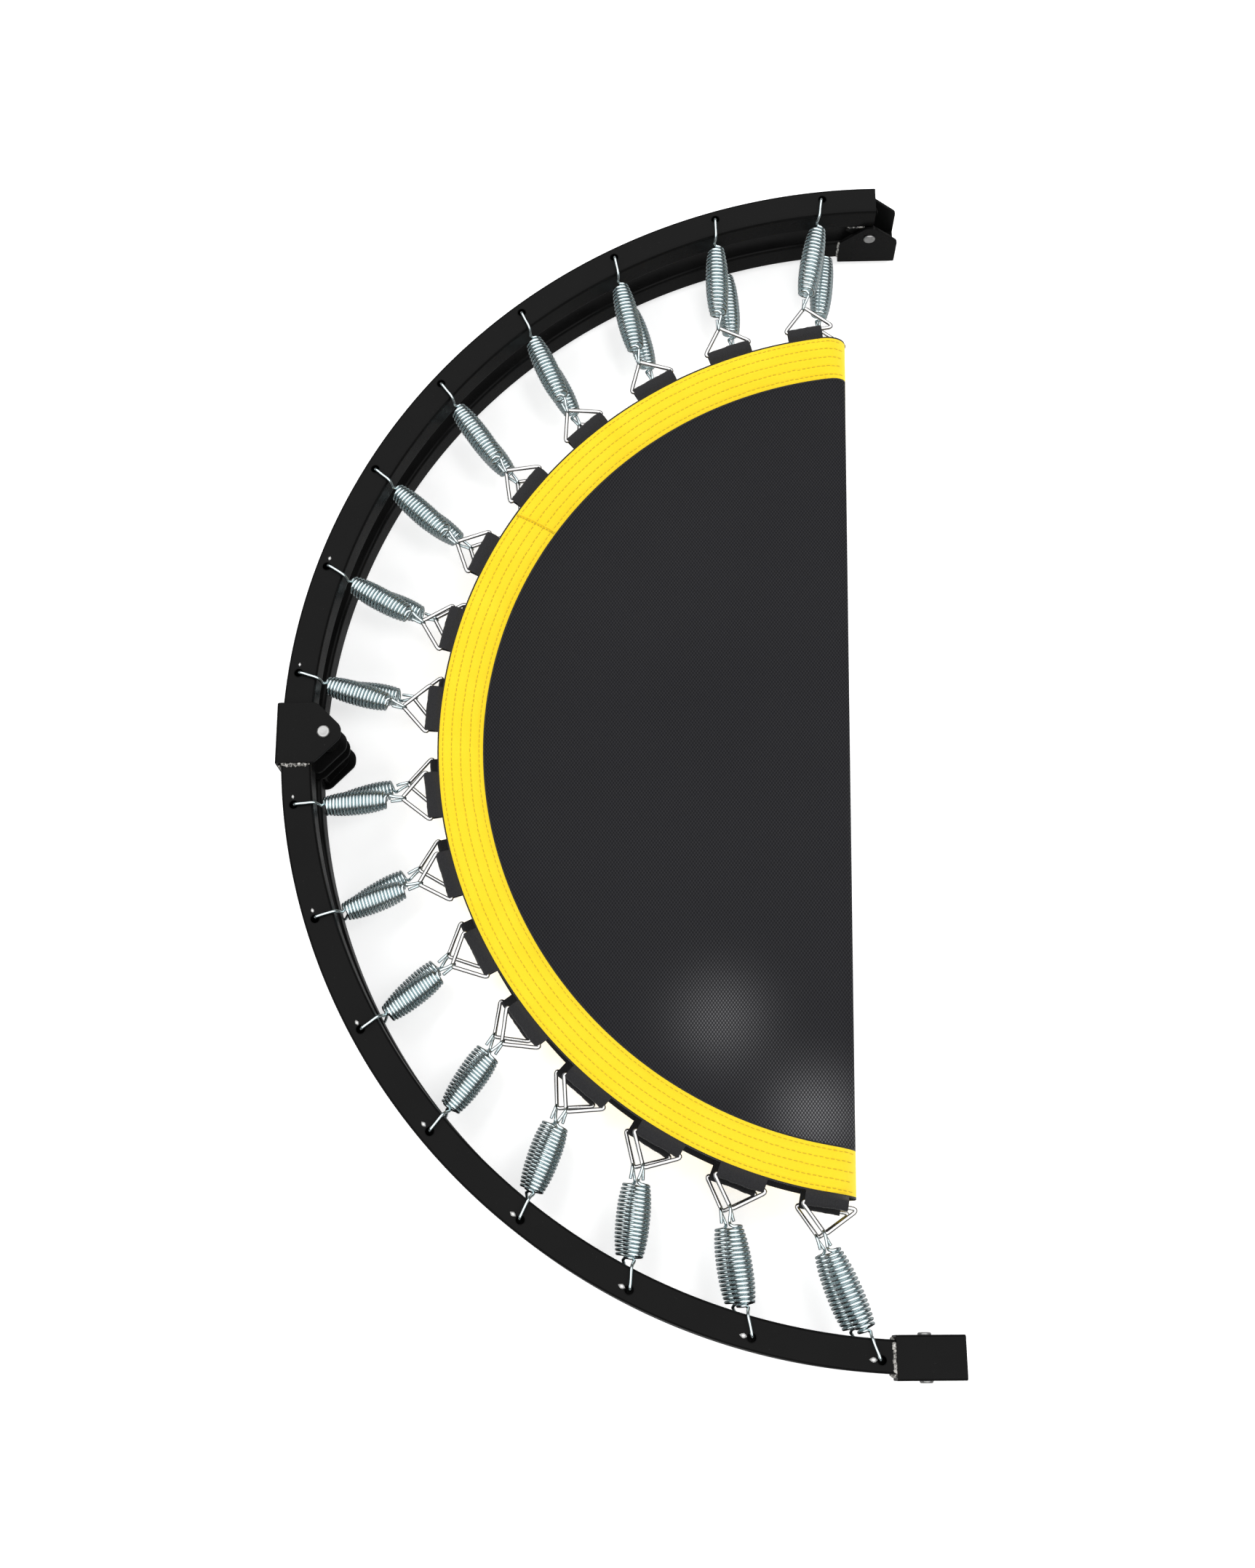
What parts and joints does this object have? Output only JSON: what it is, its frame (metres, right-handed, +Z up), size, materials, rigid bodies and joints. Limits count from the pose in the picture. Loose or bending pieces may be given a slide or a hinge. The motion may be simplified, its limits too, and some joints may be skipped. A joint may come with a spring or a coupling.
{
  "type": "folding mini trampoline",
  "caption": "Round rebounder with a hinged square-tube frame, coil springs and a woven mat with an edge band, folded in half and lying flat.",
  "frame": {"origin": "on the floor, in the middle of the folded trampoline's footprint", "axes": "+Y runs along the half-fold axis, +Z is up, and the folded ring bulges towards -X"},
  "size_m": [0.5376, 1.0286, 0.0847],
  "materials": {
    "frame_paint": "black satin powder coat",
    "spring_zinc": "bright zinc plate",
    "rivet_zinc": "zinc plate, dulled",
    "mat_weave": "tightly woven plastic mesh",
    "edge_band": "yellow folded band, sewn in parallel rows",
    "webbing": "black woven webbing"
  },
  "bodies": {
    "upper_back": {"tube_upper_back": "frame_paint", "quarter_fold_knuckle_upper": "frame_paint", "half_fold_knuckle_upper_back": "frame_paint", "spring_upper_back_1": "spring_zinc", "spring_upper_back_2": "spring_zinc", "spring_upper_back_3": "spring_zinc", "spring_upper_back_4": "spring_zinc", "spring_upper_back_5": "spring_zinc", "spring_upper_back_6": "spring_zinc", "spring_upper_back_7": "spring_zinc", "spring_upper_back_8": "spring_zinc", "mat_upper_back": "mat_weave", "edge_band_upper_back": "edge_band", "webbing_loops_upper_back": "webbing"},
    "upper_front": {"tube_upper_front": "frame_paint", "quarter_fold_bracket_upper": "frame_paint", "half_fold_bracket_upper_front": "frame_paint", "spring_upper_front_1": "spring_zinc", "spring_upper_front_2": "spring_zinc", "spring_upper_front_3": "spring_zinc", "spring_upper_front_4": "spring_zinc", "spring_upper_front_5": "spring_zinc", "spring_upper_front_6": "spring_zinc", "spring_upper_front_7": "spring_zinc", "spring_upper_front_8": "spring_zinc", "mat_upper_front": "mat_weave", "edge_band_upper_front": "edge_band", "webbing_loops_upper_front": "webbing"},
    "lower_front": {"tube_lower_front": "frame_paint", "quarter_fold_knuckle_lower": "frame_paint", "half_fold_knuckle_lower_front": "frame_paint", "spring_lower_front_1": "spring_zinc", "spring_lower_front_2": "spring_zinc", "spring_lower_front_3": "spring_zinc", "spring_lower_front_4": "spring_zinc", "spring_lower_front_5": "spring_zinc", "spring_lower_front_6": "spring_zinc", "spring_lower_front_7": "spring_zinc", "spring_lower_front_8": "spring_zinc", "mat_lower_front": "mat_weave", "edge_band_lower_front": "edge_band", "webbing_loops_lower_front": "webbing"},
    "lower_back": {"tube_lower_back": "frame_paint", "quarter_fold_bracket_lower": "frame_paint", "half_fold_bracket_lower_back": "frame_paint", "spring_lower_back_1": "spring_zinc", "spring_lower_back_2": "spring_zinc", "spring_lower_back_3": "spring_zinc", "spring_lower_back_4": "spring_zinc", "spring_lower_back_5": "spring_zinc", "spring_lower_back_6": "spring_zinc", "spring_lower_back_7": "spring_zinc", "spring_lower_back_8": "spring_zinc", "mat_lower_back": "mat_weave", "edge_band_lower_back": "edge_band", "webbing_loops_lower_back": "webbing"},
    "quarter_fold_rivet_upper": {"quarter_fold_rivet_upper": "rivet_zinc"},
    "half_fold_rivet_upper_front": {"half_fold_rivet_upper_front": "rivet_zinc"},
    "quarter_fold_rivet_lower": {"quarter_fold_rivet_lower": "rivet_zinc"},
    "half_fold_rivet_lower_back": {"half_fold_rivet_lower_back": "rivet_zinc"}
  },
  "joints": [
    {"name": "quarter_fold", "type": "hinge", "parent": "upper_front", "child": "upper_back", "pos_m": [-0.2292, 0, 0.06585], "axis": [0, 0, 1], "range_deg": [-84, 0], "deforming": ["spring_upper_back_1", "spring_upper_back_2", "spring_upper_back_3", "spring_upper_back_4", "spring_upper_back_5", "spring_upper_back_6", "spring_upper_back_7", "spring_upper_back_8", "mat_upper_back", "edge_band_upper_back", "webbing_loops_upper_back", "spring_upper_front_1", "spring_upper_front_2", "spring_upper_front_3", "spring_upper_front_4", "spring_upper_front_5", "spring_upper_front_6", "spring_upper_front_7", "spring_upper_front_8", "mat_upper_front", "edge_band_upper_front", "webbing_loops_upper_front", "spring_lower_front_1", "spring_lower_front_2", "spring_lower_front_3", "spring_lower_front_4", "spring_lower_front_5", "spring_lower_front_6", "spring_lower_front_7", "spring_lower_front_8", "mat_lower_front", "edge_band_lower_front", "webbing_loops_lower_front", "spring_lower_back_1", "spring_lower_back_2", "spring_lower_back_3", "spring_lower_back_4", "spring_lower_back_5", "spring_lower_back_6", "spring_lower_back_7", "spring_lower_back_8", "mat_lower_back", "edge_band_lower_back", "webbing_loops_lower_back"]},
    {"name": "half_fold", "type": "hinge", "parent": "upper_front", "child": "lower_front", "pos_m": [0.2428, -0.4955, 0.04235], "axis": [0, -1, 0], "range_deg": [0, 180]},
    {"name": "half_fold_follower", "type": "hinge", "parent": "upper_back", "child": "lower_back", "pos_m": [0.2428, 0.4955, 0.04235], "axis": [0, -1, 0], "range_deg": [0, 180]},
    {"name": "quarter_fold_rivet_upper_spin", "type": "hinge", "parent": "upper_front", "child": "quarter_fold_rivet_upper", "pos_m": [-0.2292, 0, 0.06585], "axis": [0, 0, 1], "continuous": true},
    {"name": "half_fold_rivet_upper_front_spin", "type": "hinge", "parent": "upper_front", "child": "half_fold_rivet_upper_front", "pos_m": [0.2428, -0.4955, 0.04235], "axis": [0, 1, 0], "continuous": true},
    {"name": "quarter_fold_rivet_lower_spin", "type": "hinge", "parent": "lower_back", "child": "quarter_fold_rivet_lower", "pos_m": [-0.2292, 0, 0.01885], "axis": [0, 0, 1], "continuous": true},
    {"name": "half_fold_rivet_lower_back_spin", "type": "hinge", "parent": "lower_back", "child": "half_fold_rivet_lower_back", "pos_m": [0.2428, 0.4955, 0.04235], "axis": [0, 1, 0], "continuous": true}
  ],
  "couplings": [
    {"joint": "half_fold_follower", "follows": "half_fold", "ratio": 1}
  ]
}
